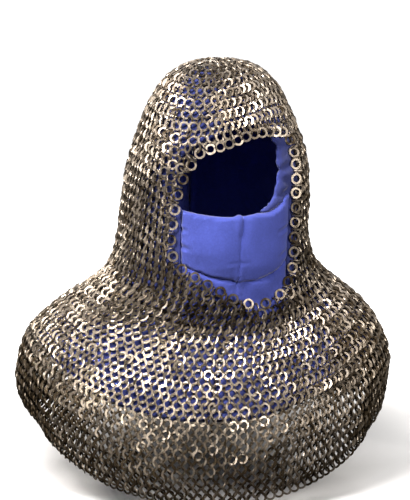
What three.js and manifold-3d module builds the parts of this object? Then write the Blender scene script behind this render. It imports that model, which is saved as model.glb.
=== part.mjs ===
// A mail coif over a padded cap: a hood of riveted rings with a face opening, a mantle of the same
// mail over the shoulders, and blue quilted cotton under both that also covers mouth and chin.
// Millimetres, +Z up, the face looks along -Y. The origin is inside the crown, where the head bears.
import * as THREE from 'three';
import { mergeVertices } from 'three/addons/utils/BufferGeometryUtils.js';
import Module from 'manifold-3d';

// Driving dimensions
const MAIL_THICK = 6; // rings lean on each other, so the net stands this deep
const CLOTH_THICK = 9; // quilted cotton
const LAYER_GAP = 0.4; // between mail and cloth
const SEAM_GAP = 0.3; // between two pieces of cloth
const SEAM_STEP = 0.0075; // half the seam between hood and mantle, as a share of one section
const HOOD_STATIONS = 48; // facets round the hood
const MANTLE_STATIONS = 60; // facets round the mantle
const COVER_SINK = 0.8; // extra room under the mail's edge, where the facets differ
const COVER_PUFF = 5; // how far the padding swells through the opening
const PUFF_EDGE = 9; // the padding rises over this breadth from the mail's edge
const PUFF_SEAM = 4; // and over this one from a seam
const PUFF_START = 7; // clear of the mail's edge before it rises

// Sections from the crown to the hem. side, front and back are heights, half is the half width,
// ahead and behind are depths, full is how much squarer than an ellipse, over is the sideways
// place of the middle, turn is in degrees towards the wearer's left.
const SECTIONS = table(['side', 'front', 'back', 'half', 'ahead', 'behind', 'full', 'over', 'turn'], {
  crown: [12.4, 12.4, 12.4, 0, 0, 0, 0, 0, 13],
  cap: [7, 7, 7, 34, 37, 39, 0, 0, 13],
  dome: [-10, -10, -10, 61, 67, 71, 0, 0, 13],
  vault: [-40, -40, -40, 80, 91, 97, 0, -1, 13],
  brow: [-73, -73, -73, 93, 108, 113, 0.01, -1, 13],
  temple: [-111, -111, -111, 104, 117, 122, 0.02, -2, 13],
  cheek: [-155, -157, -155, 109, 119, 122, 0.02, -5, 13],
  jaw: [-197, -209, -202, 112, 118, 116, 0.02, -8, 13],
  throat: [-231, -259, -241, 124, 112, 108, 0.02, -8, 12],
  neck: [-253, -297, -267, 146, 110, 106, 0.02, -9, 9],
  collar: [-269, -325, -293, 169, 120, 116, 0.02, -11, 4],
  shoulder: [-289, -357, -323, 192, 134, 130, 0.03, -13, 1],
  chest: [-315, -393, -357, 213, 148, 143, 0.04, -17, 0],
  edge: [-345, -427, -391, 223, 161, 153, 0.045, -18, 0],
  fall: [-379, -463, -427, 222, 166, 157, 0.045, -21, 0],
  hem: [-411, -496, -459, 213, 164, 154, 0.045, -18, 0],
});
const SECTION_NAMES = Object.keys(SECTIONS);
const CROWN = 0;
const NECK = SECTION_NAMES.indexOf('neck');
const HEM = SECTION_NAMES.indexOf('hem');
const CLOTH_HEM = SECTION_NAMES.indexOf('chest') + 0.1; // the cloth ends above the mail's hem

// Soft waves of the hanging mail: where round the garment, how deep, how broad in degrees
const FOLDS = table(['angle', 'depth', 'breadth'], {
  rightShoulder: [-66, -5, 9],
  rightArm: [-88, 3, 10],
  chestRight: [-34, 2.5, 12],
  chestLeft: [30, 2.5, 12],
  leftShoulder: [62, -4, 9],
  leftArm: [86, 3, 10],
  backLeft: [128, -5, 10],
  backMiddle: [178, 3, 14],
  backRight: [-130, -4, 11],
});
const FOLD_START = SECTION_NAMES.indexOf('shoulder');

// The head's own round, which the outlines below are wrapped on
const HEAD_HALF = 106;
const HEAD_AHEAD = 118;
const HEAD_OVER = -4;
const HEAD_TURN = 13;
const ARC = 1.95; // millimetres of arc in one degree
const CUT_FROM = 0.6; // a cutter reaches from this share of the head's round
const CUT_TO = 1.7; // out to this one
const OUTLINE_POINTS = 64;

// Outlines on that round: degrees from the front towards the wearer's left, height
const MAIL_OPENING = [
  [-33, -103], [-29, -91], [-16, -84], [-4, -77], [8, -71], [26, -70], [39, -75], [40, -96],
  [38, -128], [38, -165], [38, -195], [36, -221], [27, -248], [16, -261], [4, -258],
  [-8, -245], [-22, -229], [-34, -215], [-40, -194], [-40, -165], [-38, -126],
];
const EYE_OPENING = [
  [-42, -90], [-28, -76], [-8, -64], [12, -58], [24, -67], [31, -86], [29, -106], [27, -127],
  [23, -144], [14, -155], [5, -160], [-6, -161], [-18, -160], [-30, -157], [-41, -152], [-46, -120],
];

// The cover's own cloth, between its two side seams
const COVER_RIGHT = -40.3;
const COVER_LEFT = 37.5;
const COVER_FOOT = -330; // past its lower edge
const COVER_ABOVE = -100; // past its upper one
const SLANT = 1.4; // how much further up a slanting edge moves for the same gap
const FRONT_STEP = 1.3; // degrees between the points of its top

// Lines across the front: the angle where each hangs lowest, its height there, and how it rises
// to the right and to the left of that, for a degree squared
const LINING_SEAM = { at: 15, height: -158, right: 0.0026, left: 0.047 };
const DEEP_FOLD = { at: 6, height: -238, right: 0.0095, left: 0.022 }; // parts cover and throat
const THROAT_TOP = { at: 0, height: -190, right: 0, left: 0 }; // above that fold

const COVER_STEP = 4; // degrees between stations
const COVER_SPREAD = 44; // degrees from the front that the cloth is cut from
const COVER_FROM = 5.2; // the section it starts at, and the step between its rows
const COVER_ROW = 0.3;

const mailSteel = new THREE.MeshStandardMaterial({ color: 0x8a8070, roughness: 0.38, metalness: 1 });
const blueCotton = new THREE.MeshStandardMaterial({ color: 0x4d57b8, roughness: 0.88, metalness: 0 });

const UP = new THREE.Vector3(0, 0, 1);
const wasm = await Module();
wasm.setup();

function table(columns, rows) {
  const named = ([name, cells]) => [name, Object.fromEntries(columns.map((c, i) => [c, cells[i]]))];
  return Object.fromEntries(Object.entries(rows).map(named));
}

// A column's value anywhere between two sections, on a smooth curve through their neighbours
function between(column, at) {
  const from = Math.min(Math.floor(at), HEM - 1);
  const share = at - from;
  const value = (i) => SECTIONS[SECTION_NAMES[THREE.MathUtils.clamp(i, CROWN, HEM)]][column];
  const [a, b, c, d] = [from - 1, from, from + 1, from + 2].map(value);
  const bend = (2 * a - 5 * b + 4 * c - d) * share + (3 * b - a - 3 * c + d) * share * share;
  return b + 0.5 * share * (c - a + bend);
}

function foldDepth(at, degrees) {
  let depth = 0;
  for (const fold of Object.values(FOLDS)) {
    const away = THREE.MathUtils.euclideanModulo(degrees - fold.angle + 180, 360) - 180;
    depth += fold.depth * Math.exp(-((away / fold.breadth) ** 2));
  }
  return depth * THREE.MathUtils.smoothstep(at, FOLD_START, HEM);
}

// The mail's middle surface
function middle(at, degrees) {
  const angle = THREE.MathUtils.degToRad(degrees);
  const across = Math.sin(angle);
  const along = Math.cos(angle);
  const corner = 1 + between('full', at) * Math.sin(2 * angle) ** 2;
  const depth = between(along > 0 ? 'ahead' : 'behind', at);
  const side = between('side', at);
  const end = between(along > 0 ? 'front' : 'back', at);
  const fold = foldDepth(at, degrees);
  const point = new THREE.Vector3(
    across * (between('half', at) * corner + fold),
    -along * (depth * corner + fold),
    side + (end - side) * along * along,
  );
  point.applyAxisAngle(UP, THREE.MathUtils.degToRad(between('turn', at)));
  point.x += between('over', at);
  return point;
}

// A point of a layer that lies out from the mail's middle, or in where out is below zero
function layer(at, degrees, out) {
  const point = middle(at, degrees);
  if (at === CROWN) return point.addScaledVector(UP, out);
  const stepAt = 0.02;
  const stepDegrees = 0.5;
  const high = Math.min(at + stepAt, HEM);
  const down = middle(high, degrees).sub(middle(high - 2 * stepAt, degrees));
  const round = middle(at, degrees + stepDegrees).sub(middle(at, degrees - stepDegrees));
  return point.addScaledVector(down.cross(round).normalize(), out);
}

// A closed wall over rows of sections and stations of degrees. outer and inner give its two faces,
// half is 0 all round, 1 on the wearer's left and -1 on the right, where it keeps half a seam away.
function wall({ rows, stations, half = 0, outer, inner }) {
  const round = half === 0;
  const count = stations.length;
  const positions = [];
  for (const face of [outer, inner]) {
    for (const at of rows) {
      for (const degrees of stations) {
        const point = layer(at, degrees, face(at, degrees));
        if (at === CROWN || degrees % 180 === 0) {
          const turn = THREE.MathUtils.degToRad(between('turn', at));
          point.x += half * 0.5 * SEAM_GAP * Math.cos(turn);
          point.y += half * 0.5 * SEAM_GAP * Math.sin(turn);
        }
        positions.push(...point.toArray());
      }
    }
  }
  const index = [];
  const quad = (a, b, c, d) => index.push(a, b, c, a, c, d);
  const inside = rows.length * count;
  const last = rows.length - 1;
  for (let c = 0; c < (round ? count : count - 1); c += 1) {
    const next = (c + 1) % count;
    for (let r = 0; r < last; r += 1) {
      const [a, b, d, e] = [r * count + c, (r + 1) * count + c, (r + 1) * count + next, r * count + next];
      quad(a, b, d, e);
      quad(inside + a, inside + e, inside + d, inside + b);
    }
    quad(c, next, inside + next, inside + c);
    const foot = last * count;
    quad(foot + c, inside + foot + c, inside + foot + next, foot + next);
  }
  for (let r = 0; r < last && !round; r += 1) {
    const [start, startBelow] = [r * count, (r + 1) * count];
    const [end, endBelow] = [start + count - 1, startBelow + count - 1];
    quad(start, inside + start, inside + startBelow, startBelow);
    quad(end, endBelow, inside + endBelow, inside + end);
  }
  const geometry = new THREE.BufferGeometry();
  geometry.setAttribute('position', new THREE.Float32BufferAttribute(positions, 3));
  geometry.setIndex(index);
  return solid(geometry);
}

// Geometry to a solid that can be cut, without the flat triangles where points meet in a pole
function solid(geometry) {
  geometry.deleteAttribute('normal');
  geometry.deleteAttribute('uv');
  const merged = mergeVertices(geometry);
  const corners = merged.index.array;
  const kept = [];
  for (let i = 0; i < corners.length; i += 3) {
    const [a, b, c] = corners.slice(i, i + 3);
    if (a !== b && b !== c && c !== a) kept.push(a, b, c);
  }
  const vertProperties = merged.attributes.position.array;
  return new wasm.Manifold(new wasm.Mesh({ numProp: 3, vertProperties, triVerts: new Uint32Array(kept) }));
}

function piece(name, shape, material) {
  const { vertProperties, triVerts } = shape.getMesh();
  const geometry = new THREE.BufferGeometry();
  geometry.setAttribute('position', new THREE.BufferAttribute(vertProperties, 3));
  geometry.setIndex(new THREE.BufferAttribute(triVerts, 1));
  geometry.computeVertexNormals();
  const mesh = new THREE.Mesh(geometry, material);
  mesh.name = name;
  return mesh;
}

// A cutter: an outline on the head's round, drawn out through every layer
function cutter(points) {
  const shape = new THREE.Shape(points.map(([degrees, height]) => new THREE.Vector2(degrees * ARC, height)));
  const geometry = new THREE.ExtrudeGeometry(shape, { depth: 1, bevelEnabled: false });
  const place = geometry.attributes.position;
  const point = new THREE.Vector3();
  for (let i = 0; i < place.count; i += 1) {
    const angle = THREE.MathUtils.degToRad(place.getX(i) / ARC);
    const reach = THREE.MathUtils.lerp(CUT_FROM, CUT_TO, place.getZ(i));
    point.set(reach * HEAD_HALF * Math.sin(angle), -reach * HEAD_AHEAD * Math.cos(angle), place.getY(i));
    point.applyAxisAngle(UP, THREE.MathUtils.degToRad(HEAD_TURN));
    place.setXYZ(i, point.x + HEAD_OVER, point.y, point.z);
  }
  return solid(geometry);
}

function closedCurve(points) {
  const corners = points.map(([degrees, height]) => new THREE.Vector3(degrees, height, 0));
  const curve = new THREE.CatmullRomCurve3(corners, true, 'centripetal');
  return curve.getPoints(OUTLINE_POINTS).slice(0, -1).map((p) => [p.x, p.y]);
}

const mailEdge = closedCurve(MAIL_OPENING);
const eyeEdge = closedCurve(EYE_OPENING);

function lineHeight(line, degrees) {
  const away = degrees - line.at;
  return line.height + (away < 0 ? line.right : line.left) * away * away;
}

// How far a point lies inside the mail's opening, and zero outside it
function insideOpening(degrees, height) {
  let inside = false;
  let nearest = Infinity;
  mailEdge.forEach(([x, y], i) => {
    const [nextX, nextY] = mailEdge[(i + 1) % mailEdge.length];
    const crosses = y > height !== nextY > height;
    if (crosses && degrees < x + ((height - y) / (nextY - y)) * (nextX - x)) inside = !inside;
    nearest = Math.min(nearest, Math.hypot((degrees - x) * ARC, height - y));
  });
  return inside ? nearest : 0;
}

const mailOuter = () => MAIL_THICK / 2;
const mailInner = () => -MAIL_THICK / 2;
const clothOuter = () => -MAIL_THICK / 2 - LAYER_GAP;
const clothInner = () => clothOuter() - CLOTH_THICK;

// The cover's padding swells in the opening, and is drawn in along its middle seam and its fold
function coverOuter(at, degrees) {
  const height = layer(at, degrees, clothOuter()).z;
  const rise = (distance, breadth) => 1 - Math.exp(-Math.max(distance, 0) / breadth);
  const fromEdge = rise(insideOpening(degrees, height) - PUFF_START, PUFF_EDGE);
  const fromSeam = rise(Math.abs(degrees) * ARC + 1, PUFF_SEAM);
  const fromFold = rise(Math.abs(height - lineHeight(DEEP_FOLD, degrees)) + 1, PUFF_SEAM);
  return clothOuter() - COVER_SINK + COVER_PUFF * fromEdge * fromSeam * fromFold;
}

function steps(from, to, step) {
  const count = Math.round((to - from) / step);
  return Array.from({ length: count + 1 }, (_, i) => from + ((to - from) * i) / count);
}

const allRound = (count) => steps(0, 360, 360 / count).slice(0, -1);
const halfRound = (count, half) => (half > 0 ? steps(0, 180, 360 / count) : steps(-180, 0, 360 / count));
const hoodRows = [...steps(CROWN, 3, 0.5), 4, 5, 6, 7, 7.5, 8, 8.5, NECK - SEAM_STEP];
const mantleRows = (hem) => [NECK + SEAM_STEP, ...steps(NECK + 0.5, hem, 0.5)];

// The front between its side seams, under a line
function frontUnder(line) {
  const edge = steps(COVER_RIGHT, COVER_LEFT, FRONT_STEP).map((a) => [a, lineHeight(line, a)]);
  return cutter([...edge, [COVER_LEFT, COVER_FOOT], [COVER_RIGHT, COVER_FOOT]]);
}

// A shape with that front cut out of it, and a seam's gap beside and above it
function withoutFront(shape, front) {
  const raised = front.translate([0, 0, SEAM_GAP * SLANT]);
  const turns = [-1, 0, 1].map((side) => (side * SEAM_GAP) / ARC);
  return turns.reduce((rest, turn) => rest.subtract(raised.rotate([0, 0, turn])), shape);
}
const foldEdge = steps(-COVER_SPREAD, COVER_SPREAD, COVER_STEP).map((a) => [a, lineHeight(DEEP_FOLD, a)]);
const aboveFold = [...foldEdge, [COVER_SPREAD, COVER_ABOVE], [-COVER_SPREAD, COVER_ABOVE]];

const garment = new THREE.Group();

function mail() {
  const faces = { outer: mailOuter, inner: mailInner };
  const hood = wall({ ...faces, rows: hoodRows, stations: allRound(HOOD_STATIONS) });
  const mantle = wall({ ...faces, rows: mantleRows(HEM), stations: allRound(MANTLE_STATIONS) });
  garment.add(piece('mail_hood', hood.subtract(cutter(mailEdge)), mailSteel));
  garment.add(piece('mail_mantle', mantle, mailSteel));
}

function padding(side, half) {
  const faces = { half, outer: clothOuter, inner: clothInner };
  const hood = wall({ ...faces, rows: hoodRows, stations: halfRound(HOOD_STATIONS, half) });
  const eye = cutter(eyeEdge);
  const front = frontUnder(LINING_SEAM);
  garment.add(piece(`padded_hood_${side}`, withoutFront(hood.subtract(eye), front), blueCotton));
  const mantle = wall({ ...faces, rows: mantleRows(CLOTH_HEM), stations: halfRound(MANTLE_STATIONS, half) });
  garment.add(piece(`padded_mantle_${side}`, mantle, blueCotton));
  const cloth = wall({
    ...faces,
    rows: steps(COVER_FROM, NECK - SEAM_STEP, COVER_ROW),
    stations: half > 0 ? steps(0, COVER_SPREAD, COVER_STEP) : steps(-COVER_SPREAD, 0, COVER_STEP),
    outer: coverOuter,
  });
  const above = cutter(aboveFold);
  const cover = cloth.intersect(front).intersect(above);
  garment.add(piece(`ventail_${side}`, cover.subtract(eye), blueCotton));
  const throat = cloth.intersect(frontUnder(THROAT_TOP));
  garment.add(piece(`throat_${side}`, throat.subtract(above.translate([0, 0, -SEAM_GAP])), blueCotton));
}

mail();
padding('left', 1);
padding('right', -1);

export default garment;
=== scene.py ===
"""Dresses the mail coif: woven rings, padded cotton with its seams, the stage and the camera."""
import math
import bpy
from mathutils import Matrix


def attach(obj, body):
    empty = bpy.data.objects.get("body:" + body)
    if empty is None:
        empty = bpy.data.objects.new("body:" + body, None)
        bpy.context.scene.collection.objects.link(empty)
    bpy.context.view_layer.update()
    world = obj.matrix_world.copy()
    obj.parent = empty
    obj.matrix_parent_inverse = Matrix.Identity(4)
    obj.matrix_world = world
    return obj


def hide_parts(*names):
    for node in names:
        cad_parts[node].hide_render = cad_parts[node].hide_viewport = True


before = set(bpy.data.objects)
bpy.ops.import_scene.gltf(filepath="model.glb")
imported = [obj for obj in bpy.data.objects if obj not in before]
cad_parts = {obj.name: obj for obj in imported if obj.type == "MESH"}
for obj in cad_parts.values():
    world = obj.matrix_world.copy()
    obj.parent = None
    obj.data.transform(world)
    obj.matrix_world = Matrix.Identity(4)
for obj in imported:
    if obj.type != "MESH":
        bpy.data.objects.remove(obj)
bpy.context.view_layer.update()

from types import SimpleNamespace

import bmesh
import bpy
import numpy as np
from bpy.props import FloatProperty, FloatVectorProperty, IntProperty, PointerProperty
from mathutils import Vector
from mathutils.kdtree import KDTree

bl_info = {
    "name": "Mail coif",
    "version": (1, 0, 0),
    "blender": (4, 5, 0),
    "location": "View3D > Sidebar > Mail Coif",
    "description": "A mail hood and mantle over a padded cap",
    "category": "Object",
}

MM = 0.001
BODY = "root"

# The garment's sections from the crown to the hem, in millimetres and degrees, as the solids have
# them. side, front and back are heights, half is the half width, ahead and behind are depths, full
# is how much squarer than an ellipse, over is the sideways place, turn is towards the wearer's left.
SECTION_COLUMNS = ("side", "front", "back", "half", "ahead", "behind", "full", "over", "turn")
SECTIONS = {
    "crown": (12.4, 12.4, 12.4, 0, 0, 0, 0, 0, 13),
    "cap": (7, 7, 7, 34, 37, 39, 0, 0, 13),
    "dome": (-10, -10, -10, 61, 67, 71, 0, 0, 13),
    "vault": (-40, -40, -40, 80, 91, 97, 0, -1, 13),
    "brow": (-73, -73, -73, 93, 108, 113, 0.01, -1, 13),
    "temple": (-111, -111, -111, 104, 117, 122, 0.02, -2, 13),
    "cheek": (-155, -157, -155, 109, 119, 122, 0.02, -5, 13),
    "jaw": (-197, -209, -202, 112, 118, 116, 0.02, -8, 13),
    "throat": (-231, -259, -241, 124, 112, 108, 0.02, -8, 12),
    "neck": (-253, -297, -267, 146, 110, 106, 0.02, -9, 9),
    "collar": (-269, -325, -293, 169, 120, 116, 0.02, -11, 4),
    "shoulder": (-289, -357, -323, 192, 134, 130, 0.03, -13, 1),
    "chest": (-315, -393, -357, 213, 148, 143, 0.04, -17, 0),
    "edge": (-345, -427, -391, 223, 161, 153, 0.045, -18, 0),
    "fall": (-379, -463, -427, 222, 166, 157, 0.045, -21, 0),
    "hem": (-411, -496, -459, 213, 164, 154, 0.045, -18, 0),
}
SECTION_NAMES = list(SECTIONS)
HEM = len(SECTIONS) - 1
NECK = SECTION_NAMES.index("neck")
PROBE = 0.04  # of a section, over which a direction is measured
ANGLE_STEP = 3.0  # degrees between the points that the form is looked up at
FORM_START = 0.1  # sections from the crown, and how many points from there to the hem
FORM_STEPS = 150

# Soft waves of the hanging mail: where round the garment, how deep, how broad in degrees
FOLDS = {
    "right_shoulder": (-66, -5, 9),
    "right_arm": (-88, 3, 10),
    "chest_right": (-34, 2.5, 12),
    "chest_left": (30, 2.5, 12),
    "left_shoulder": (62, -4, 9),
    "left_arm": (86, 3, 10),
    "back_left": (128, -5, 10),
    "back_middle": (178, 3, 14),
    "back_right": (-130, -4, 11),
}
FOLD_START = SECTION_NAMES.index("shoulder")

# The mail's face opening on the head's round: degrees from the front towards the wearer's left, and
# height
MAIL_OPENING = (
    (-33, -103), (-29, -91), (-16, -84), (-4, -77), (8, -71), (26, -70), (39, -75), (40, -96),
    (38, -128), (38, -165), (38, -195), (36, -221), (27, -248), (16, -261), (4, -258),
    (-8, -245), (-22, -229), (-34, -215), (-40, -194), (-40, -165), (-38, -126),
)
HEAD_ARC = 1.95  # millimetres of arc in one degree
HEAD_HALF = 106
HEAD_AHEAD = 118
HEAD_OVER = -4
HEAD_TURN = 13

# The padded pieces, in millimetres: grain of the remesh, how much smaller each starts, how far a
# point may swell, and rounds of subdivision
PADS = {
    "ventail": dict(voxel=3.2, smaller=0.5, cap=1.4, levels=1),
    "throat": dict(voxel=3.2, smaller=0.5, cap=1.4, levels=1),
    "padded_hood": dict(voxel=4.0, smaller=0.9, cap=1.2, levels=0),
    "padded_mantle": dict(voxel=5.0, smaller=0.9, cap=1.2, levels=0),
}
# Painted shade on the cloth: how light each piece is left where it faces out, painted darker under
# the mail's rings
PAINTED_SHADE_BY_PIECE = {"ventail": 1.0, "throat": 1.0, "padded_hood": 0.2, "padded_mantle": 0.25}
INSIDE = 1.0  # and on the side towards the head
TURN_OUT = (-0.2, 0.4)  # how far out a face turns, from the inner side to the outer one
PRESSURE = 4.0
FILL_FRAMES = 20

SEAM_CLOSE = 0.3  # how far each piece of cloth reaches over its half of a seam
SEAM_ANGLE = -2  # the cover's middle seam, and how far the cloth beside it stands out again
SEAM_FILL = 3.0
SEAM_BREADTH = 5.5
EYE_FOOT = -150  # heights that it does so between
COVER_FOOT = -262
CREASE_SPAN = 75  # degrees each way that creases reach
CREASE_END = 0.12  # how much of a crease is left at its ends, squared
BULGE = 0.45  # the cloth's swell beside a crease: its share, place and breadth
BULGE_PLACE = 2.1
BULGE_BREADTH = 0.9
EDGE_FACE = 0.3  # a face that turns out less than this lies in a seam, one above the next is free
FREE_FACE = 0.8

# Creases of the cover and of the lining beside it: from and to as degrees and height, then depth and
# breadth
CREASES = {
    "cover_right_upper": ((-42, -176), (-36, -177), 1.3, 2.2),
    "cover_right_lower": ((-41, -195), (-34.5, -199), 1.2, 2.4),
    "cover_left_upper": ((25, -182), (37, -177), 1.4, 2.4),
    "cover_left_lower": ((27, -212), (35, -206), 1.0, 2.6),
    "seam_right": ((-11, -216), (-3.5, -214.5), 0.35, 1.8),
    "seam_left": ((-3, -214.5), (4, -216), 0.4, 1.8),
    "lining_top": ((27, -84), (37, -82), 2.2, 3.2),
    "lining_middle": ((24, -112), (42, -104), 3.6, 3.4),
    "lining_low": ((26, -141), (40, -133), 3.2, 3.0),
    "lining_slant": ((30, -118), (38, -130), 2.0, 3.0),
}

# The weave
LEVELS = 84  # half rows of rings from the crown to the hem
COLUMN_STEP = 4.8  # millimetres round the garment between two columns
HANG = 6.5  # a ring's lowest point below its middle
EDGE_RINGS = 5.4  # the middle of the edge's own rings, outside the opening
EDGE_LINKS = 9.2  # of the links between them
EDGE_STEP = 12.8  # from one ring of the edge to the next over the brow
SIDE_STEP = 17.5  # and below this height
BROW_FOOT = -100
EDGE_CLEAR = 11.8  # and the weave starts here
EDGE_SECTIONS = np.linspace(3, 10, 200)  # that the edge lies within
EDGE_OUT = 0.5  # how much the edge's rings face outwards
FORWARD = (0.0, -1.0, 0.22)  # and the way that they turn besides
EDGE_ANGLE = 80  # the edge lies within this angle, and between the two heights
EDGE_TOP = -40
EDGE_FOOT = -300
CLEAR_OF_EDGE = 99.0  # millimetres, for the rings further off
MANTLE_FRONT = 62  # degrees each way that the mantle's front piece spans
FIRST_COLUMNS = 6
SECTION_STEPS = 400  # points from crown to hem that the rows are laid by
SAG_ROUNDS = 3  # rounds of smoothing
COLUMN_ROUNDS = 8
GOLDEN = 0.618  # keeps the new columns of successive rows apart

# Slow drifts over the garment: for each, waves along it, waves round it, and how fast it shifts
WAVES = ((3.1, 5, 1), (5.3, -9, 2), (1.7, 14, 3))
LEAN_DRIFT = math.radians(9)
LEAN_START = 1.0
DROOP_DRIFT = 0.16
DROOP_START = 2.0

# A ring: its lap swells over a share of the round, and turns either way. The rivet's sizes are in
# thicknesses of the strip.
LAP_SWELL = 0.32
LAP_SHARE = 0.09
LAP_TURN = 0.9
SIZE_SPREAD = 0.03
RIVET = {"sides": 5, "top": 0.3, "foot": 0.62, "height": 0.75, "stand": 0.55}

# How far the rows sag, in millimetres: at each share of the way to the hem, for the angles
SAG_ANGLES = (-180, -110, -86, -68, -58, -48, -41, -29, 0, 26, 41, 55, 80, 120, 180)
SAGS = {
    0.00: (0, 0, 0, 0, 0, 0, 0, 0, 0, 0, 0, 0, 0, 0, 0),
    0.20: (0, 2, 4, 9, 12, 13, 13, 11, 0, -10, -11, -8, -5, -2, 0),
    0.28: (0, 0, 2, 6, 12, 20, 25, 22, 8, 4, 12, 6, 2, 0, 0),
    0.36: (0, 0, 1, 5, 11, 22, 30, 28, 10, 8, 14, 8, 2, 0, 0),
    0.45: (0, 0, 0, 3, 7, 14, 18, 17, 6, 5, 10, 6, 2, 0, 0),
    0.56: (0, 0, 0, 0, 1, 3, 4, 4, 2, 1, 2, 1, 0, 0, 0),
    0.66: (0, 0, -1, -2, -3, -4, -4, -4, -3, -2, -1, -1, 0, 0, 0),
    0.74: (0, 0, 0, 0, 0, 0, 0, 0, 0, 0, 0, 0, 0, 0, 0),
    0.83: (0, 1, 3, 5, 6, 7, 7, 7, 7, 6, 5, 4, 2, 1, 0),
    1.00: (0, 0, 0, 0, 0, 0, 0, 0, 0, 0, 0, 0, 0, 0, 0),
}

# Spots on the mail: section and degrees of the middle, and how far each reaches in both. Over the
# right shoulder the mail is stretched and its rings lie open to the front.
STRETCH = (10.6, -32, 1.5, 34)
STRETCH_SHARE = 0.1
OPEN_RINGS = (10.7, -45, 1.5, 26)
OPEN_FACING = (-0.06, -0.56, 0.34)

# Painted highlights and painted shade on the mail: where its rings are painted brighter, or darker
# where the amount is below zero
PAINTED_LIGHT_SPOTS = {
    "right_shoulder": ((10.8, -38, 1.3, 22), 0.15),
    "chest": ((10.6, 5, 1.1, 25), 0.05),
    "brow": ((3.3, -15, 0.7, 25), 0.40),
    "neck": ((8.2, 0, 0.8, 50), -0.30),
    "left_arm": ((12.0, 62, 2.0, 16), -0.30),
    "right_arm": ((13.2, -68, 1.3, 24), -0.40),
    "hem": ((14.2, 0, 1.1, 120), -0.42),
}

# The finishes. A noise is waves to a metre and detail. Wear, with the painted light added in, runs
# from dark at zero to bright at one.
STEEL = SimpleNamespace(
    cloud=(190.0, 3.0), grain=(1300.0, 2.0),
    wear_by_ring=0.85, wear_by_cloud=1.5, wear_least=0.08,
    rough_least=0.38, rough_by_patina=0.24, rough_by_grain=0.2,
    bump=0.35, bump_depth=0.2 * MM,
)
COTTON = SimpleNamespace(
    cloud=(28.0, 3.0), slub=(420.0, 2.0), crumple=(60.0, 4.0), threads=520.0, thread_bend=2.0,
    deep=0.72, light=1.18, light_more=0.012, painted_shade_share=0.3, shade_by_cloud=1.4, shade_by_slub=0.9,
    rough=0.86, sheen=0.35, sheen_rough=0.45,
    thread_bump=0.25, thread_depth=0.25 * MM, crumple_bump=0.5, crumple_depth=1.2 * MM,
)
PAPER = SimpleNamespace(fibre=(35.0, 2.0), fibre_dark=0.985, rough=0.95)


class CoifWeave(bpy.types.PropertyGroup):
    """Sizes of the rings and how they lie"""
    ring_outside: FloatProperty(
        name="Ring outside", description="Outside diameter of a ring", default=13.2 * MM,
        unit="LENGTH")
    strip_width: FloatProperty(
        name="Strip width", description="Breadth of the flat wire", default=2.4 * MM, unit="LENGTH")
    strip_thickness: FloatProperty(
        name="Strip thickness", description="Thickness of the flat wire", default=1.15 * MM,
        unit="LENGTH")
    lean: FloatProperty(
        name="Lean", description="How far each ring leans on its neighbours",
        default=math.radians(31), subtype="ANGLE")
    jitter: FloatProperty(
        name="Jitter", description="How far a ring strays from its even place",
        default=math.radians(9), subtype="ANGLE")
    segments: IntProperty(name="Segments", description="Sides of a ring", default=14, min=8)
    seed: IntProperty(name="Seed", description="Start of the random draws", default=7)


class CoifColours(bpy.types.PropertyGroup):
    """Colours of the finishes"""
    steel: FloatVectorProperty(
        name="Steel", description="Colour of the worn rings", default=(0.50, 0.435, 0.36), size=3,
        subtype="COLOR")
    patina: FloatVectorProperty(
        name="Patina", description="Colour of the darkened steel", default=(0.060, 0.044, 0.027),
        size=3, subtype="COLOR")
    cotton: FloatVectorProperty(
        name="Cotton", description="Colour of the padded cloth", default=(0.044, 0.069, 0.40),
        size=3, subtype="COLOR")
    backdrop: FloatVectorProperty(
        name="Backdrop", description="Colour of the floor and backdrop", default=(0.93, 0.93, 0.93),
        size=3, subtype="COLOR")


# The garment's form

def through(a, b, c, d, share):
    """A smooth curve's point that share of the way from b to c."""
    bend = (2 * a - 5 * b + 4 * c - d) * share + (3 * b - a - 3 * c + d) * share ** 2
    return b + 0.5 * share * (c - a + bend)


def between(column, at):
    """A column's value anywhere between two sections, on a smooth curve through its neighbours."""
    values = np.array([row[SECTION_COLUMNS.index(column)] for row in SECTIONS.values()], float)
    at = np.clip(at, 0, HEM)
    low = np.minimum(at.astype(int), HEM - 1)
    return through(*(values[np.clip(low + i, 0, HEM)] for i in (-1, 0, 1, 2)), at - low)


def smooth(value, low, high):
    share = np.clip((value - low) / (high - low), 0, 1)
    return share * share * (3 - 2 * share)


def fold_depth(at, degrees):
    depth = sum(deep * np.exp(-(((degrees - angle + 180) % 360 - 180) / broad) ** 2)
                for angle, deep, broad in FOLDS.values())
    return depth * smooth(at, FOLD_START, HEM)


def middle(at, degrees):
    """Points of the mail's middle surface, in millimetres."""
    at, degrees = np.broadcast_arrays(np.asarray(at, float), np.asarray(degrees, float))
    angle = np.radians(degrees)
    across, along = np.sin(angle), np.cos(angle)
    ahead = along > 0
    corner = 1 + between("full", at) * np.sin(2 * angle) ** 2
    depth = np.where(ahead, between("ahead", at), between("behind", at))
    side = between("side", at)
    end = np.where(ahead, between("front", at), between("back", at))
    fold = fold_depth(at, degrees)
    x = across * (between("half", at) * corner + fold)
    y = -along * (depth * corner + fold)
    turn = np.radians(between("turn", at))
    return np.stack([
        x * np.cos(turn) - y * np.sin(turn) + between("over", at),
        x * np.sin(turn) + y * np.cos(turn),
        side + (end - side) * along ** 2,
    ], -1)


def unit(vectors):
    return vectors / np.maximum(np.linalg.norm(vectors, axis=-1, keepdims=True), 1e-9)


def directions(at, degrees):
    """Outward, downward and sideways directions of the surface."""
    high = np.clip(at + PROBE / 2, PROBE, HEM)
    down = unit(middle(high, degrees) - middle(high - PROBE, degrees))
    across = unit(middle(at, degrees + 0.5) - middle(at, degrees - 0.5))
    out = unit(np.cross(down, across))
    return out, down, np.cross(out, down)


def sway(at, degrees, start):
    """A smooth drift between -1 and 1 over the garment."""
    turn = np.radians(degrees)
    waves = [np.sin(along * at + across * turn + shift * start) for along, across, shift in WAVES]
    return sum(waves) / len(waves)


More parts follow.
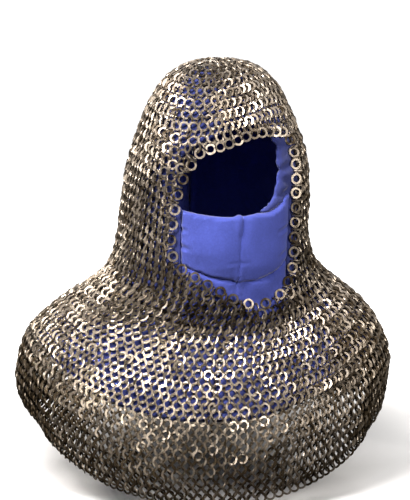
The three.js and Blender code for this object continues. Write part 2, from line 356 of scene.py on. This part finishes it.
def near_spot(at, degrees, spot):
    """One at a spot's middle, and less the further away."""
    section, angle, far, broad = spot
    return np.exp(-((at - section) / far) ** 2 - ((degrees - angle) / broad) ** 2)


# The weave's layout

def closed_curve(points, steps=8):
    """A smooth closed outline through the points."""
    p = np.array(points, float)
    share = np.linspace(0, 1, steps, endpoint=False)[:, None]
    corners = (np.roll(p, -i, axis=0)[:, None] for i in (-1, 0, 1, 2))
    return through(*corners, share).reshape(-1, 2)


def opening_distance(degrees, height):
    """Millimetres from the mail's opening, below zero inside it."""
    edge = closed_curve(MAIL_OPENING) * (HEAD_ARC, 1)
    point = np.stack([degrees * HEAD_ARC, height], -1)
    start, end = edge[None], np.roll(edge, -1, axis=0)[None]
    p = point[:, None]
    span = end - start
    share = np.clip(((p - start) * span).sum(-1) / (span ** 2).sum(-1), 0, 1)
    distance = np.linalg.norm(start + share[..., None] * span - p, axis=-1).min(1)
    above = (start[..., 1] > p[..., 1]) != (end[..., 1] > p[..., 1])
    rise = np.where(span[..., 1] == 0, 1, span[..., 1])
    crossing = start[..., 0] + (p[..., 1] - start[..., 1]) / rise * span[..., 0]
    inside = ((above & (p[..., 0] < crossing)).sum(1) % 2) == 1
    return np.where(inside, -distance, distance)


class Layout:
    """Where every ring of the mail lies, level by level from the crown to the hem."""

    def __init__(self):
        self.angles = np.arange(-180, 180 + 0.1, ANGLE_STEP)
        self.sections = np.linspace(0, HEM, SECTION_STEPS)
        grid = middle(self.sections[None, :], self.angles[:, None])
        steps = np.linalg.norm(np.diff(grid, axis=1), axis=-1)
        self.lengths = np.concatenate([np.zeros((len(grid), 1)), steps.cumsum(1)], 1)
        self.rows = []
        self.lay()

    def section_at(self, level):
        """The section that a level runs through, for each of the angles."""
        share = level / LEVELS
        knots = [np.interp(share, list(SAGS), column) for column in zip(*SAGS.values())]
        sag = np.interp(self.angles, SAG_ANGLES, knots)
        for _ in range(SAG_ROUNDS):
            sag[1:-1] = 0.5 * sag[1:-1] + 0.25 * (sag[:-2] + sag[2:])
        reach = self.lengths[:, -1] - HANG
        down = np.clip(share * reach + sag, 0, reach)
        return np.array([np.interp(d, row, self.sections) for d, row in zip(down, self.lengths)])

    def lay(self):
        """Columns stay in order from level to level. Where the round grows, pairs are let in."""
        columns = np.arange(FIRST_COLUMNS) / FIRST_COLUMNS
        for level in range(1, LEVELS + 1):
            section = self.section_at(level)
            line = middle(section, self.angles)
            pace = 1 - STRETCH_SHARE * near_spot(section, self.angles, STRETCH)[1:]
            steps = np.linalg.norm(np.diff(line, axis=0), axis=-1) * pace
            arc = np.concatenate([[0], steps.cumsum()])
            wanted = 2 * max(3, round(arc[-1] / COLUMN_STEP / 2))
            pairs = max(0, (wanted - len(columns)) // 2)
            columns = self.let_in(columns, pairs, level)
            for _ in range(COLUMN_ROUNDS):
                before, after = np.roll(columns, 1), np.roll(columns, -1)
                before[0] -= 1
                after[-1] += 1
                columns = 0.5 * columns + 0.25 * (before + after)
            own = columns[level % 2::2]
            degrees = np.interp((own % 1) * arc[-1], arc, self.angles)
            self.rows.append((level, degrees, np.interp(degrees, self.angles, section)))

    @staticmethod
    def let_in(columns, pairs, level):
        """New pairs of columns, spread round the garment and out of step with the last ones."""
        if pairs == 0:
            return columns
        start = level * GOLDEN % 1
        spots = {2 * int((start + i / pairs) % 1 * (len(columns) // 2)) + 1 for i in range(pairs)}
        result = []
        for i, place in enumerate(columns):
            result.append(place)
            if i in spots:
                after = columns[i + 1] if i + 1 < len(columns) else columns[0] + 1
                result += [place + (after - place) / 3, place + (after - place) * 2 / 3]
        return np.array(result)

    def net(self, lean):
        """Section, degrees and facing of the weave's rings. Row by row they lean the other way."""
        levels, angles, sections = zip(*self.rows)
        at, degrees = np.concatenate(sections), np.concatenate(angles)
        side = np.repeat([1 if level % 2 else -1 for level in levels], [len(row) for row in angles])
        height = middle(at, degrees)[:, 2]
        near = (np.abs(degrees) < EDGE_ANGLE) & (height < EDGE_TOP) & (height > EDGE_FOOT)
        clear = np.full(len(at), CLEAR_OF_EDGE)
        clear[near] = opening_distance(degrees[near], height[near])
        keep = clear > EDGE_CLEAR
        at, degrees, side = at[keep], degrees[keep], side[keep]
        out, down, sideways = directions(at, degrees)
        angle = (lean * side + LEAN_DRIFT * sway(at, degrees, LEAN_START))[:, None]
        drift = DROOP_DRIFT * sway(at, degrees, DROOP_START)[:, None] * down
        opened = near_spot(at, degrees, OPEN_RINGS)[:, None] * OPEN_FACING
        return at, degrees, out * np.cos(angle) + sideways * np.sin(angle) + drift + opened

    def edge(self, away, phase):
        """Section, degrees and direction along the edge of a row of rings round the opening."""
        outline = closed_curve(MAIL_OPENING) * (HEAD_ARC, 1)
        after = np.roll(outline, -1, axis=0)
        span = after - np.roll(outline, 1, axis=0)
        line = outline + away * unit(np.stack([-span[:, 1], span[:, 0]], -1))
        pace = np.where(outline[:, 1] > BROW_FOOT, EDGE_STEP, SIDE_STEP)
        steps = np.concatenate([[0], (np.linalg.norm(after - outline, axis=1) / pace).cumsum()])
        count = round(steps[-1])
        spots = (np.arange(count) + phase) * steps[-1] / count
        line = np.append(line, line[:1], axis=0)
        degrees, height = (np.interp(spots, steps, column) for column in line.T)
        degrees = degrees / HEAD_ARC
        at = np.array([np.interp(-h, -middle(EDGE_SECTIONS, d)[:, 2], EDGE_SECTIONS)
                       for d, h in zip(degrees, height)])
        place = middle(at, degrees)
        return at, degrees, unit(np.roll(place, -1, axis=0) - np.roll(place, 1, axis=0))

    def rings(self, lean):
        """Section, degrees and facing of every ring, those along the opening's edge too."""
        rows = [self.net(lean)]
        at, degrees, _ = self.edge(EDGE_RINGS, 0.0)
        rows.append((at, degrees, EDGE_OUT * directions(at, degrees)[0] + FORWARD))
        rows.append(self.edge(EDGE_LINKS, 0.5))
        return [np.concatenate(values) for values in zip(*rows)]


# Shared makers

def new_object(name, mesh):
    obj = bpy.data.objects.new(name, mesh)
    bpy.context.scene.collection.objects.link(obj)
    return obj


def plain_mesh(obj):
    """The object's result with its modifiers applied, as a plain mesh in their place."""
    bpy.context.view_layer.update()
    graph = bpy.context.evaluated_depsgraph_get()
    result = bpy.data.meshes.new_from_object(obj.evaluated_get(graph))
    obj.modifiers.clear()
    old = obj.data
    obj.data = result
    bpy.data.meshes.remove(old)
    return obj


class Tree:
    """Builds a node tree: each node comes from one call with its type, settings and inputs."""

    def __init__(self, tree):
        self.tree = tree

    def node(self, kind, inputs=(), **settings):
        node = self.tree.nodes.new(kind)
        stops = settings.pop("stops", None)
        for key, value in settings.items():
            setattr(node, key, value)
        if stops:
            ramp = node.color_ramp
            while len(ramp.elements) < len(stops):
                ramp.elements.new(0.5)
            for element, (position, colour) in zip(ramp.elements, stops):
                element.position = position
                element.color = (*colour, 1)
        for key, value in dict(inputs).items():
            self.join(value, node.inputs[key])
        return node

    def join(self, value, socket):
        value = value.socket if isinstance(value, Wire) else value
        if isinstance(value, bpy.types.NodeSocket):
            self.tree.links.new(value, socket)
        else:
            socket.default_value = value

    def wire(self, kind, inputs=(), output=0, **settings):
        return Wire(self, self.node(kind, inputs, **settings).outputs[output])


class Wire:
    """One socket's value. Sums on wires add the Math nodes that work them out."""

    def __init__(self, maker, socket):
        self.maker = maker
        self.socket = socket

    def maths(self, operation, *values):
        inputs = dict(enumerate(values))
        return self.maker.wire("ShaderNodeMath", inputs, operation=operation)

    def __add__(self, other):
        return self.maths("ADD", self, other)

    def __radd__(self, other):
        return self.maths("ADD", other, self)

    def __sub__(self, other):
        return self.maths("SUBTRACT", self, other)

    def __rsub__(self, other):
        return self.maths("SUBTRACT", other, self)

    def __mul__(self, other):
        return self.maths("MULTIPLY", self, other)

    def __rmul__(self, other):
        return self.maths("MULTIPLY", other, self)

    def clamped(self):
        return self.maths("MINIMUM", self.maths("MAXIMUM", self, 0.0), 1.0)


def material(name):
    """A new material with its Tree and its shader."""
    made = bpy.data.materials.new(name)
    made.use_nodes = True
    made.node_tree.nodes.clear()
    tree = Tree(made.node_tree)
    shader = tree.node("ShaderNodeBsdfPrincipled")
    tree.node("ShaderNodeOutputMaterial", {"Surface": shader.outputs[0]})
    return made, tree, shader


def mix_colour(tree, factor, low, high):
    """Colour between two, each a tuple or a socket."""
    def full(value):
        return (*value, 1) if isinstance(value, tuple) and len(value) == 3 else value
    inputs = {0: factor, 6: full(low), 7: full(high)}
    return tree.wire("ShaderNodeMix", inputs, output=2, data_type="RGBA")


def noise(tree, place, scale, detail):
    """Soft noise over the piece, with scale in waves to a metre."""
    inputs = {"Vector": place, "Scale": scale, "Detail": detail}
    return tree.wire("ShaderNodeTexNoise", inputs, output="Fac")


# Finishes

def steel_finish():
    """Worn flat rings, darker or brighter ring by ring at random, with painted highlights and
    painted shade in given spots.
    """
    colours = bpy.context.scene.coif_colours
    made, tree, shader = material("mail_rings")
    place = tree.node("ShaderNodeTexCoord").outputs["Object"]
    tone = tree.wire("ShaderNodeAttribute", output="Fac", attribute_name="tone")
    cloud = noise(tree, place, *STEEL.cloud)
    grain = noise(tree, place, *STEEL.grain)
    # painted light: rings are painted brighter in spots of painted highlight and darker in spots of
    # painted shade
    painted_light = tree.wire("ShaderNodeAttribute", output="Fac", attribute_name="painted_light")
    wear_and_painted_light = tone * STEEL.wear_by_ring + (cloud - 0.5) * STEEL.wear_by_cloud
    wear_and_painted_light = (wear_and_painted_light + painted_light + STEEL.wear_least).clamped()
    base = mix_colour(tree, wear_and_painted_light, tuple(colours.patina), tuple(colours.steel))
    tree.join(base, shader.inputs["Base Color"])
    rough = STEEL.rough_least + STEEL.rough_by_patina * (1 - wear_and_painted_light)
    tree.join(rough + (grain - 0.5) * STEEL.rough_by_grain, shader.inputs["Roughness"])
    shader.inputs["Metallic"].default_value = 1.0
    bump = tree.node("ShaderNodeBump", {"Height": grain + cloud, "Strength": STEEL.bump,
                                        "Distance": STEEL.bump_depth})
    tree.join(bump.outputs["Normal"], shader.inputs["Normal"])
    return made


def cotton_finish():
    """Blue cotton: a plain weave, uneven dye and a soft nap, with painted shade where the mail
    covers it.
    """
    colours = bpy.context.scene.coif_colours
    made, tree, shader = material("padded_cotton")
    place = tree.node("ShaderNodeTexCoord").outputs["Object"]
    cloud = noise(tree, place, *COTTON.cloud)
    slub = noise(tree, place, *COTTON.slub)
    crumple = noise(tree, place, *COTTON.crumple)
    threads = {"Vector": place, "Scale": COTTON.threads, "Distortion": COTTON.thread_bend}
    weft, warp = (
        tree.wire("ShaderNodeTexWave", threads, output="Fac", wave_type="BANDS",
                  bands_direction=way) for way in "ZX")
    dye = tuple(colours.cotton)
    deep = tuple(c * COTTON.deep for c in dye)
    light = tuple(min(1, c * COTTON.light + COTTON.light_more) for c in dye)
    shade = 0.5 + (cloud - 0.5) * COTTON.shade_by_cloud + (slub - 0.5) * COTTON.shade_by_slub
    shade = shade.clamped()
    # painted shade: cloth that faces out under the mail gets a darker colour, as if the rings shaded
    # it
    unshaded_by_paint = tree.wire("ShaderNodeAttribute", output="Fac", attribute_name="unshaded_by_paint")
    painted_shade_colour = tuple(c * COTTON.painted_shade_share for c in dye)
    dyed = mix_colour(tree, shade, deep, light)
    tree.join(mix_colour(tree, unshaded_by_paint, painted_shade_colour, dyed), shader.inputs["Base Color"])
    shader.inputs["Roughness"].default_value = COTTON.rough
    shader.inputs["Sheen Weight"].default_value = COTTON.sheen
    shader.inputs["Sheen Roughness"].default_value = COTTON.sheen_rough
    fine = tree.node("ShaderNodeBump", {"Height": weft * warp, "Strength": COTTON.thread_bump,
                                        "Distance": COTTON.thread_depth})
    soft = tree.node("ShaderNodeBump", {"Height": crumple, "Strength": COTTON.crumple_bump,
                                        "Distance": COTTON.crumple_depth,
                                        "Normal": fine.outputs["Normal"]})
    tree.join(soft.outputs["Normal"], shader.inputs["Normal"])
    return made


def finish_of(name, maker):
    return bpy.data.materials.get(name) or maker()


# Mail

def ring_tree():
    """Geometry Nodes: one flat riveted ring, set on each point as its attributes say."""
    group = bpy.data.node_groups.new("coif_weave", "GeometryNodeTree")
    face = group.interface
    face.new_socket("Points", in_out="INPUT", socket_type="NodeSocketGeometry")
    inputs = {
        "Ring Outside": "Float", "Strip Width": "Float", "Strip Thickness": "Float",
        "Segments": "Int", "Jitter": "Float", "Seed": "Int", "Finish": "Material",
    }
    for name, kind in inputs.items():
        face.new_socket(name, in_out="INPUT", socket_type="NodeSocket" + kind)
    face.new_socket("Rings", in_out="OUTPUT", socket_type="NodeSocketGeometry")
    tree = Tree(group)
    given = tree.node("NodeGroupInput").outputs
    width = Wire(tree, given["Strip Width"])
    thickness = Wire(tree, given["Strip Thickness"])
    radius = (Wire(tree, given["Ring Outside"]) - width) * 0.5

    circle = tree.wire("GeometryNodeCurvePrimitiveCircle",
                       {"Resolution": given["Segments"], "Radius": radius})
    factor = tree.wire("GeometryNodeSplineParameter", output="Factor")
    from_lap = factor.maths("MINIMUM", factor, 1 - factor)
    swell = 1 + LAP_SWELL * from_lap.maths("LESS_THAN", from_lap, LAP_SHARE)
    curve = tree.wire("GeometryNodeSetCurveRadius", {"Curve": circle, "Radius": swell})
    profile = tree.wire("GeometryNodeCurvePrimitiveQuadrilateral",
                        {"Width": width, "Height": thickness})
    strip = tree.wire("GeometryNodeCurveToMesh", {"Curve": curve, "Profile Curve": profile})
    rivet = tree.wire("GeometryNodeMeshCone", {
        "Vertices": RIVET["sides"], "Radius Top": thickness * RIVET["top"],
        "Radius Bottom": thickness * RIVET["foot"], "Depth": thickness * RIVET["height"]},
        fill_type="NGON")
    to_lap = tree.wire("ShaderNodeCombineXYZ", {"X": radius, "Z": thickness * RIVET["stand"]})
    set_rivet = tree.wire("GeometryNodeTransform", {"Geometry": rivet, "Translation": to_lap})
    ring = tree.node("GeometryNodeJoinGeometry")
    for part in (set_rivet, strip):
        group.links.new(part.socket, ring.inputs[0])
    flat = tree.wire("GeometryNodeSetShadeSmooth",
                     {"Geometry": ring.outputs[0], "Shade Smooth": False})

    def named(name):
        return tree.node("GeometryNodeInputNamedAttribute", {"Name": name},
                         data_type="FLOAT_VECTOR").outputs["Attribute"]

    turned = tree.wire("FunctionNodeAxesToRotation", {"Primary Axis": named("facing"),
                                                      "Secondary Axis": named("along")},
                       primary_axis="Z", secondary_axis="X")

    def draw(low, high, offset):
        seed = Wire(tree, given["Seed"]) + offset
        node = tree.node("FunctionNodeRandomValue", {"Seed": seed}, data_type="FLOAT")
        tree.join(low, node.inputs[2])
        tree.join(high, node.inputs[3])
        return node.outputs[1]

    jitter = Wire(tree, given["Jitter"])
    stray = draw(jitter * -1, jitter, 1)
    stray_too = draw(jitter * -1, jitter, 2)
    lap = draw(-LAP_TURN, LAP_TURN, 3)
    local = tree.wire("ShaderNodeCombineXYZ", {"X": stray, "Y": stray_too, "Z": lap})
    strayed = tree.wire("FunctionNodeRotateRotation", {
        "Rotation": turned, "Rotate By": tree.wire("FunctionNodeEulerToRotation", {0: local})},
        rotation_space="LOCAL")
    size = draw(1 - SIZE_SPREAD, 1 + SIZE_SPREAD, 4)
    points = tree.wire("GeometryNodeMeshToPoints", {"Mesh": given["Points"]})
    placed = tree.wire("GeometryNodeInstanceOnPoints", {
        "Points": points, "Instance": flat, "Rotation": strayed,
        "Scale": tree.wire("ShaderNodeCombineXYZ", {"X": size, "Y": size, "Z": size})})
    toned = tree.wire("GeometryNodeStoreNamedAttribute", {
        "Geometry": placed, "Name": "tone", "Value": draw(0.0, 1.0, 5)},
        data_type="FLOAT", domain="INSTANCE")
    real = tree.wire("GeometryNodeRealizeInstances", {"Geometry": toned})
    done = tree.wire("GeometryNodeSetMaterial", {"Geometry": real, "Material": given["Finish"]})
    tree.node("NodeGroupOutput", {"Rings": done})
    return group


def weave_piece(name, at, degrees, facing, node):
    """Rings on the given places as one plain mesh that stands for a node."""
    weave = bpy.context.scene.coif_weave
    down = directions(at, degrees)[1]
    mesh = bpy.data.meshes.new(name)
    mesh.from_pydata([tuple(p) for p in middle(at, degrees) * MM], [], [])
    for key, vectors in (("facing", facing), ("along", down)):
        values = mesh.attributes.new(key, "FLOAT_VECTOR", "POINT").data
        values.foreach_set("vector", vectors.ravel())
    # painted highlights and painted shade, spot by spot, stored for the steel's colour
    painted_light = sum(much * near_spot(at, degrees, spot) for spot, much in PAINTED_LIGHT_SPOTS.values())
    mesh.attributes.new("painted_light", "FLOAT", "POINT").data.foreach_set("value", painted_light)
    obj = new_object(name, mesh)
    group = bpy.data.node_groups.get("coif_weave") or ring_tree()
    modifier = obj.modifiers.new("Weave", "NODES")
    modifier.node_group = group
    values = {
        "Ring Outside": weave.ring_outside, "Strip Width": weave.strip_width,
        "Strip Thickness": weave.strip_thickness, "Segments": weave.segments,
        "Jitter": weave.jitter, "Seed": weave.seed + len(name),
        "Finish": finish_of("mail_rings", steel_finish),
    }
    for item in group.interface.items_tree:
        if item.name in values:
            modifier[item.identifier] = values[item.name]
    plain_mesh(obj)
    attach(obj, BODY)
    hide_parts(node)


class COIF_OT_mail(bpy.types.Operator):
    """Weaves the mail of the hood and the mantle"""
    bl_idname = "coif.mail"
    bl_label = "Weave mail"

    def execute(self, context):
        at, degrees, facing = Layout().rings(context.scene.coif_weave.lean)
        hood = at < NECK
        right = degrees < 0
        front = np.abs(degrees) < MANTLE_FRONT
        parts = {
            "mail_hood_right": (hood & right, "mail_hood"),
            "mail_hood_left": (hood & ~right, "mail_hood"),
            "mail_mantle_front": (~hood & front, "mail_mantle"),
            "mail_mantle_right": (~hood & ~front & right, "mail_mantle"),
            "mail_mantle_left": (~hood & ~front & ~right, "mail_mantle"),
        }
        for name, (chosen, node) in parts.items():
            weave_piece(name, at[chosen], degrees[chosen], facing[chosen], node)
        return {"FINISHED"}


# Padding

def round_place(points):
    """Degrees round the head and height, in millimetres, of points in metres."""
    x, y, z = (points / MM).T
    turn = math.radians(HEAD_TURN)
    across = (x - HEAD_OVER) * math.cos(turn) + y * math.sin(turn)
    along = y * math.cos(turn) - (x - HEAD_OVER) * math.sin(turn)
    return np.degrees(np.arctan2(across / HEAD_HALF, -along / HEAD_AHEAD)), z


def positions(mesh):
    values = np.empty(len(mesh.vertices) * 3)
    mesh.vertices.foreach_get("co", values)
    return values.reshape(-1, 3)


def set_positions(mesh, points):
    mesh.vertices.foreach_set("co", points.ravel())
    mesh.update()


def normals(mesh):
    values = np.empty(len(mesh.vertices) * 3)
    mesh.vertices.foreach_get("normal", values)
    return values.reshape(-1, 3)


class FormLookup:
    """Finds the garment's outward direction near any point."""

    def __init__(self):
        along = np.linspace(FORM_START, HEM, FORM_STEPS)
        at, degrees = np.meshgrid(along, np.arange(-180, 180, ANGLE_STEP))
        at, degrees = at.ravel(), degrees.ravel()
        self.out = directions(at, degrees)[0]
        self.tree = KDTree(len(at))
        for i, point in enumerate(middle(at, degrees) * MM):
            self.tree.insert(point, i)
        self.tree.balance()

    def outward(self, mesh):
        """One for a point that faces straight out, and below zero for one that faces in."""
        near = [self.tree.find(point)[1] for point in positions(mesh)]
        return (self.out[near] * normals(mesh)).sum(1)

    def freedom(self, mesh):
        """One where the cloth faces out or in, and zero on the narrow faces along its seams."""
        return smooth(np.abs(self.outward(mesh)), EDGE_FACE, FREE_FACE)[:, None]


def pad_start(node, voxel, smaller, form, **_):
    """A remeshed copy of a node, a little thinner than the node."""
    obj = new_object(node + "_cloth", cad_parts[node].data.copy())
    remesh = obj.modifiers.new("Remesh", "REMESH")
    remesh.mode = "VOXEL"
    remesh.voxel_size = voxel * MM
    remesh.use_smooth_shade = True
    plain_mesh(obj)
    free = form.freedom(obj.data)
    grow = SEAM_CLOSE * (1 - free) - smaller * free
    set_positions(obj.data, positions(obj.data) + grow * MM * normals(obj.data))
    return obj, free


def add_cloth(obj):
    cloth = obj.modifiers.new("Fill", "CLOTH")
    cloth.settings.use_pressure = True
    cloth.settings.uniform_pressure_force = PRESSURE
    cloth.settings.effector_weights.gravity = 0
    cloth.point_cache.frame_end = FILL_FRAMES


def pad_end(obj, free, start, cap, levels, **_):
    """The filled cloth as a plain mesh, none of its points further than cap from where it was."""
    plain_mesh(obj)
    move = (positions(obj.data) - start) * free
    far = np.linalg.norm(move, axis=1, keepdims=True)
    set_positions(obj.data, start + move * np.minimum(1, cap * MM / np.maximum(far, 1e-9)))
    if levels:
        obj.modifiers.new("Subdivision", "SUBSURF").levels = levels
        plain_mesh(obj)


def crease(obj):
    """Draws the cloth in along its creases, and lets it swell softly beside them."""
    degrees, height = round_place(positions(obj.data))
    place = np.stack([degrees * HEAD_ARC, height], -1)
    depth = -SEAM_FILL * np.exp(-((degrees - SEAM_ANGLE) * HEAD_ARC / SEAM_BREADTH) ** 2)
    depth[(height > EYE_FOOT) | (height < COVER_FOOT)] = 0
    for start, end, deep, broad in CREASES.values():
        low, high = np.array(start) * (HEAD_ARC, 1), np.array(end) * (HEAD_ARC, 1)
        span = high - low
        share = np.clip((place - low) @ span / (span @ span), 0, 1)
        away = np.linalg.norm(low + share[:, None] * span - place, axis=1)
        fade = np.sqrt(np.clip(4 * share * (1 - share), CREASE_END, 1))
        bulge = BULGE * np.exp(-((away / broad - BULGE_PLACE) / BULGE_BREADTH) ** 2)
        depth += deep * fade * (np.exp(-(away / broad) ** 2) - bulge)
    depth[np.abs(degrees) > CREASE_SPAN] = 0
    set_positions(obj.data, positions(obj.data) - depth[:, None] * MM * normals(obj.data))


class COIF_OT_padding(bpy.types.Operator):
    """Fills the padded cotton pieces and draws in their creases"""
    bl_idname = "coif.padding"
    bl_label = "Fill padding"

    def execute(self, context):
        form = FormLookup()
        pads = {}
        for kind, values in PADS.items():
            for side in ("left", "right"):
                node = f"{kind}_{side}"
                pads[node] = (*pad_start(node, form=form, **values), values)
        starts = {node: positions(obj.data) for node, (obj, *_) in pads.items()}
        for obj, *_ in pads.values():
            add_cloth(obj)
        for step in range(1, FILL_FRAMES + 1):
            context.scene.frame_set(step)
        for node, (obj, free, values) in pads.items():
            pad_end(obj, free, starts[node], **values)
            crease(obj)
            obj.data.polygons.foreach_set("use_smooth", [True] * len(obj.data.polygons))
            # painted shade: faces of the hood and mantle that turn out are painted darker, where the
            # mail would shade them
            outside = smooth(form.outward(obj.data), *TURN_OUT)
            lightness = INSIDE + (PAINTED_SHADE_BY_PIECE[node.rsplit("_", 1)[0]] - INSIDE) * outside
            obj.data.attributes.new("unshaded_by_paint", "FLOAT", "POINT").data.foreach_set("value", lightness)
            obj.data.materials.clear()
            obj.data.materials.append(finish_of("padded_cotton", cotton_finish))
            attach(obj, BODY)
            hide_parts(node)
        context.scene.frame_set(1)
        return {"FINISHED"}


# Stage

CAMERA_TARGET = Vector((-17 * MM, 0, -219 * MM))
CAMERA_AZIMUTH = math.radians(-3)
CAMERA_HEIGHT = math.radians(10)
CAMERA_DISTANCE = 2.4
FRAME_HEIGHT = 500 * 1.22 * MM  # what the frame's 500 pixels span at the target
SENSOR = 24.0
FLOOR = -0.4975
FLOOR_RADIUS = 2.6
BEND = 1.2
BEND_STEPS = 12
BACKDROP_TOP = 4.5
BACKDROP_SIDES = 64
# The floor's painted shadow under the garment and behind it: place and scale, where it starts, how
# fast it fades, and its colour
SHADE_PLACE = (0.075, -0.62, 0.0)
SHADE_SCALE = (4.2, 2.4, 0.0)
SHADE_START = 0.3
SHADE_FADE = 1.1
SHADE_COLOUR = (0.04, 0.037, 0.034)
GLOW_START = 0.62  # the backdrop glows from this far off
GLOW_RISE = 2.2
GLOW = 0.6
CLIP_END = 30
LIGHTS = {
    "key": dict(place=(-0.85, -1.1, 1.5), size=0.9, power=63, colour=(1.0, 0.95, 0.93)),
    "side": dict(place=(-1.5, -0.8, 1.15), size=0.9, power=36, colour=(1.0, 0.95, 0.88)),
    "fill": dict(place=(1.2, -1.6, 0.6), size=0.8, power=32, colour=(1.0, 0.94, 0.86)),
    "shoulder": dict(place=(-0.45, -0.9, 1.5), size=0.2, power=0.3, colour=(1.0, 0.97, 0.93),
                     aim=(-0.16, -0.12, -0.30), spread=9),
    "back": dict(place=(0.9, 1.9, 0.9), size=0.9, power=30, colour=(1.0, 0.97, 0.93)),
}
SKY = (  # how bright the studio is, from straight below to straight above
    (0.0, (0.012, 0.011, 0.010)), (0.47, (0.025, 0.023, 0.020)), (0.56, (0.09, 0.09, 0.09)),
    (0.72, (0.20, 0.205, 0.22)), (1.0, (0.40, 0.42, 0.46)),
)


class COIF_OT_stage(bpy.types.Operator):
    """Sets the floor, the backdrop, the lights and the camera"""
    bl_idname = "coif.stage"
    bl_label = "Set stage"

    def execute(self, context):
        self.camera(context)
        self.floor()
        for name, light in LIGHTS.items():
            self.light(name, **light)
        self.world(context)
        return {"FINISHED"}

    @staticmethod
    def camera(context):
        data = bpy.data.cameras.new("camera")
        data.sensor_fit = "VERTICAL"
        data.sensor_height = SENSOR
        data.lens = SENSOR * CAMERA_DISTANCE / FRAME_HEIGHT
        data.clip_end = CLIP_END
        camera = new_object("camera", data)
        level = math.cos(CAMERA_HEIGHT)
        back = Vector((math.sin(CAMERA_AZIMUTH) * level, -math.cos(CAMERA_AZIMUTH) * level,
                       math.sin(CAMERA_HEIGHT)))
        camera.location = CAMERA_TARGET + back * CAMERA_DISTANCE
        camera.rotation_euler = back.to_track_quat("Z", "Y").to_euler()
        context.scene.camera = camera

    @staticmethod
    def floor():
        """A floor that curves up into a backdrop all round, far enough off to stay even."""
        work = bmesh.new()
        line = [(FLOOR_RADIUS, FLOOR)]
        for i in range(1, BEND_STEPS + 1):
            angle = 0.5 * math.pi * i / BEND_STEPS
            rise = BEND * (1 - math.cos(angle))
            line.append((FLOOR_RADIUS + BEND * math.sin(angle), FLOOR + rise))
        line.append((FLOOR_RADIUS + BEND, BACKDROP_TOP))
        centre = work.verts.new((0, 0, FLOOR))
        rows = []
        for i in range(BACKDROP_SIDES):
            turn = 2 * math.pi * i / BACKDROP_SIDES
            across, along = math.cos(turn), math.sin(turn)
            rows.append([work.verts.new((r * across, r * along, z)) for r, z in line])
        for row, after in zip(rows, rows[1:] + rows[:1]):
            work.faces.new((centre, row[0], after[0]))
            for a, b, c, d in zip(row, row[1:], after[1:], after):
                work.faces.new((a, b, c, d))
        mesh = bpy.data.meshes.new("backdrop")
        work.to_mesh(mesh)
        work.free()
        mesh.polygons.foreach_set("use_smooth", [True] * len(mesh.polygons))
        made, tree, shader = material("backdrop_paper")
        place = tree.node("ShaderNodeTexCoord").outputs["Object"]
        fibre = noise(tree, place, *PAPER.fibre)
        pale = tuple(bpy.context.scene.coif_colours.backdrop)
        paper = mix_colour(tree, fibre, tuple(c * PAPER.fibre_dark for c in pale), pale)
        # painted shadow: the floor's colour goes dark under and behind the garment, and its glow is
        # cut there
        under = tree.wire("ShaderNodeMapping", {"Vector": place, "Location": SHADE_PLACE,
                                                "Scale": SHADE_SCALE})
        spread = tree.wire("ShaderNodeVectorMath", {0: under}, output="Value", operation="LENGTH")
        unshaded_by_paint = ((spread - SHADE_START) * SHADE_FADE).clamped()
        tree.join(mix_colour(tree, unshaded_by_paint, SHADE_COLOUR, paper), shader.inputs["Base Color"])
        shader.inputs["Roughness"].default_value = PAPER.rough
        away = tree.wire("ShaderNodeVectorMath", {0: place}, output="Value", operation="LENGTH")
        lit = ((away - GLOW_START) * GLOW_RISE).clamped() * unshaded_by_paint
        glow = mix_colour(tree, lit, (0.0, 0.0, 0.0), (1.0, 1.0, 1.0))
        tree.join(glow, shader.inputs["Emission Color"])
        shader.inputs["Emission Strength"].default_value = GLOW
        mesh.materials.append(made)
        backdrop = new_object("backdrop", mesh)
        backdrop.visible_diffuse = False
        backdrop.visible_glossy = False
        backdrop.visible_shadow = False

    @staticmethod
    def light(name, place, size, power, colour, aim=CAMERA_TARGET, spread=180):
        data = bpy.data.lights.new(name, "AREA")
        data.shape = "DISK"
        data.size = size
        data.energy = power
        data.color = colour
        data.spread = math.radians(spread)
        lamp = new_object(name, data)
        lamp.location = place
        lamp.rotation_euler = (Vector(place) - Vector(aim)).to_track_quat("Z", "Y").to_euler()

    @staticmethod
    def world(context):
        world = bpy.data.worlds.new("studio")
        world.use_nodes = True
        tree = Tree(world.node_tree)
        towards = tree.node("ShaderNodeTexCoord").outputs["Generated"]
        height = tree.wire("ShaderNodeSeparateXYZ", {0: towards}, output="Z") * 0.5 + 0.5
        sky = tree.node("ShaderNodeValToRGB", {"Fac": height}, stops=SKY)
        tree.join(sky.outputs["Color"], world.node_tree.nodes["Background"].inputs["Color"])
        context.scene.world = world
        context.scene.view_settings.view_transform = "Standard"


class COIF_PT_panel(bpy.types.Panel):
    """Lists the coif's operators and values"""
    bl_idname = "COIF_PT_panel"
    bl_label = "Mail Coif"
    bl_space_type = "VIEW_3D"
    bl_region_type = "UI"
    bl_category = "Mail Coif"

    def draw(self, context):
        for operator in OPERATORS:
            self.layout.operator(operator.bl_idname)
        for group in (context.scene.coif_weave, context.scene.coif_colours):
            for key in group.__annotations__:
                self.layout.prop(group, key)


OPERATORS = (COIF_OT_mail, COIF_OT_padding, COIF_OT_stage)
CLASSES = (CoifWeave, CoifColours, *OPERATORS, COIF_PT_panel)


def register():
    for made in CLASSES:
        bpy.utils.register_class(made)
    bpy.types.Scene.coif_weave = PointerProperty(type=CoifWeave)
    bpy.types.Scene.coif_colours = PointerProperty(type=CoifColours)


def unregister():
    del bpy.types.Scene.coif_colours
    del bpy.types.Scene.coif_weave
    for made in reversed(CLASSES):
        bpy.utils.unregister_class(made)


def main():
    register()
    bpy.ops.coif.stage()
    bpy.ops.coif.padding()
    bpy.ops.coif.mail()


if __name__ == "__main__":
    main()
